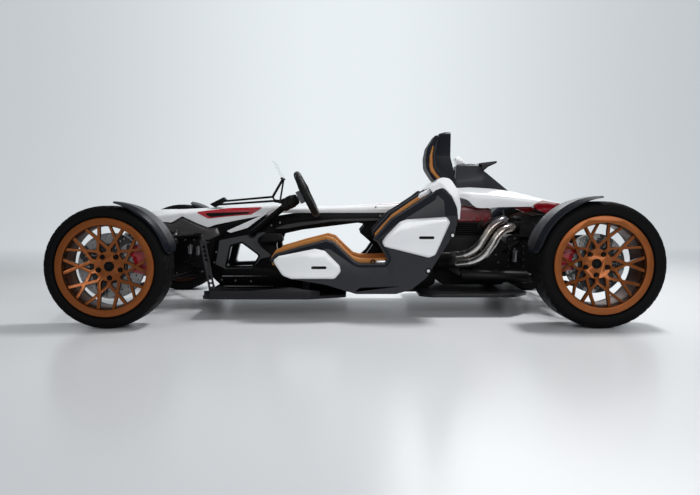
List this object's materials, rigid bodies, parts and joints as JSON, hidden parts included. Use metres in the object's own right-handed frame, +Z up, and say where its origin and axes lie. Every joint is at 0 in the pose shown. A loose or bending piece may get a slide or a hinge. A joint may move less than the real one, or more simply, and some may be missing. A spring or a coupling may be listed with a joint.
{
  "type": "concept car",
  "caption": "Open-wheel concept car with a floating side seat on a backbone frame, exposed rear engine and suspension, cycle fenders, bronze lattice wheels and coupled steering.",
  "frame": {"origin": "on the ground below the middle of the car's bounding box", "axes": "+X forward, +Y to the car's left (the seat's side), +Z up"},
  "size_m": [3.04, 1.82, 0.995],
  "materials": {
    "frame_black": "satin black frame paint",
    "tray_black": "matt carbon-look floor",
    "link_grey": "dark anodised plate",
    "body_white": "pearl white body paint",
    "accent_red": "gloss red paint",
    "lamp_clear": "clear lamp lens",
    "lamp_red": "red lamp lens",
    "shell_grey": "satin graphite shell",
    "leather_tan": "tan saddle leather",
    "navy_shell": "satin navy-black shell",
    "engine_dark": "dark cast engine case",
    "exhaust_steel": "bare steel pipe",
    "silencer_dark": "dark silencer can",
    "arm_black": "satin black arms",
    "damper_steel": "damper and spring steel",
    "upright_grey": "machined upright",
    "caliper_red": "gloss red caliper",
    "block_black": "matt black fittings",
    "screen_clear": "clear wind deflector",
    "grip_black": "black stitched grip",
    "hub_grey": "grey instrument pod",
    "rod_steel": "steel rack and rods",
    "tyre_black": "road tyre rubber",
    "rim_bronze": "metallic copper paint",
    "disc_steel": "machined brake disc"
  },
  "bodies": {
    "chassis": {"frame_core": "frame_black", "frame_left": "frame_black", "frame_right": "frame_black", "front_bulkhead": "frame_black", "undertray": "tray_black", "front_links": "link_grey", "nose_cowl": "body_white", "nose_blades": "body_white", "nose_accents": "accent_red", "headlamps": "lamp_clear", "spine_cowl": "body_white", "rear_cowl": "body_white", "engine_fairing": "shell_grey", "intake_cap": "body_white", "tail_lamps": "lamp_red", "seat_shell": "shell_grey", "seat_liner": "leather_tan", "seat_panels": "leather_tan", "seat_pods": "body_white", "seat_collar": "body_white", "headrest_shell": "navy_shell", "headrest_pad": "leather_tan", "engine_block": "engine_dark", "head_covers": "accent_red", "exhaust_headers": "exhaust_steel", "silencer": "silencer_dark", "gearbox": "engine_dark", "front_wishbones": "arm_black", "rear_wishbones": "arm_black", "dampers": "damper_steel", "rear_uprights": "upright_grey", "rear_calipers": "caliper_red", "rear_fenders": "navy_shell", "camera_block": "block_black", "steering_column": "block_black", "wind_screen": "screen_clear", "pedals": "block_black"},
    "steering_wheel": {"steering_rim": "grip_black", "steering_hub": "hub_grey"},
    "rack": {"tie_rods": "rod_steel"},
    "upright_fl": {"knuckle_fl": "upright_grey", "caliper_fl": "caliper_red", "fender_fl": "navy_shell"},
    "upright_fr": {"knuckle_fr": "upright_grey", "caliper_fr": "caliper_red", "fender_fr": "navy_shell"},
    "wheel_fl": {"tyre_fl": "tyre_black", "rim_fl": "rim_bronze", "hub_disc_fl": "disc_steel"},
    "wheel_fr": {"tyre_fr": "tyre_black", "rim_fr": "rim_bronze", "hub_disc_fr": "disc_steel"},
    "wheel_rl": {"tyre_rl": "tyre_black", "rim_rl": "rim_bronze", "hub_disc_rl": "disc_steel"},
    "wheel_rr": {"tyre_rr": "tyre_black", "rim_rr": "rim_bronze", "hub_disc_rr": "disc_steel"}
  },
  "joints": [
    {"name": "steer_left", "type": "hinge", "parent": "chassis", "child": "upright_fl", "pos_m": [1.219, 0.7305, 0.301], "axis": [0, 0, 1], "range_deg": [-27, 27]},
    {"name": "steer_right", "type": "hinge", "parent": "chassis", "child": "upright_fr", "pos_m": [1.219, -0.7305, 0.301], "axis": [0, 0, 1], "range_deg": [-27, 27]},
    {"name": "steering_wheel_turn", "type": "hinge", "parent": "chassis", "child": "steering_wheel", "pos_m": [0.262, 0.43, 0.662], "axis": [-0.9003, 0, 0.4352], "range_deg": [-243, 243]},
    {"name": "rack_slide", "type": "slide", "parent": "chassis", "child": "rack", "axis": [0, 1, 0], "range_m": [-0.0496, 0.0496]},
    {"name": "spin_front_left", "type": "hinge", "parent": "upright_fl", "child": "wheel_fl", "pos_m": [1.219, 0.8025, 0.301], "axis": [0, 1, 0], "continuous": true},
    {"name": "spin_front_right", "type": "hinge", "parent": "upright_fr", "child": "wheel_fr", "pos_m": [1.219, -0.8025, 0.301], "axis": [0, 1, 0], "continuous": true},
    {"name": "spin_rear_left", "type": "hinge", "parent": "chassis", "child": "wheel_rl", "pos_m": [-1.208, 0.7875, 0.312], "axis": [0, 1, 0], "continuous": true},
    {"name": "spin_rear_right", "type": "hinge", "parent": "chassis", "child": "wheel_rr", "pos_m": [-1.208, -0.7875, 0.312], "axis": [0, 1, 0], "continuous": true}
  ],
  "couplings": [
    {"joint": "steer_right", "follows": "steer_left", "ratio": 1},
    {"joint": "steering_wheel_turn", "follows": "steer_left", "ratio": 9},
    {"joint": "rack_slide", "follows": "steer_left", "m_per_rad": -0.10116}
  ]
}
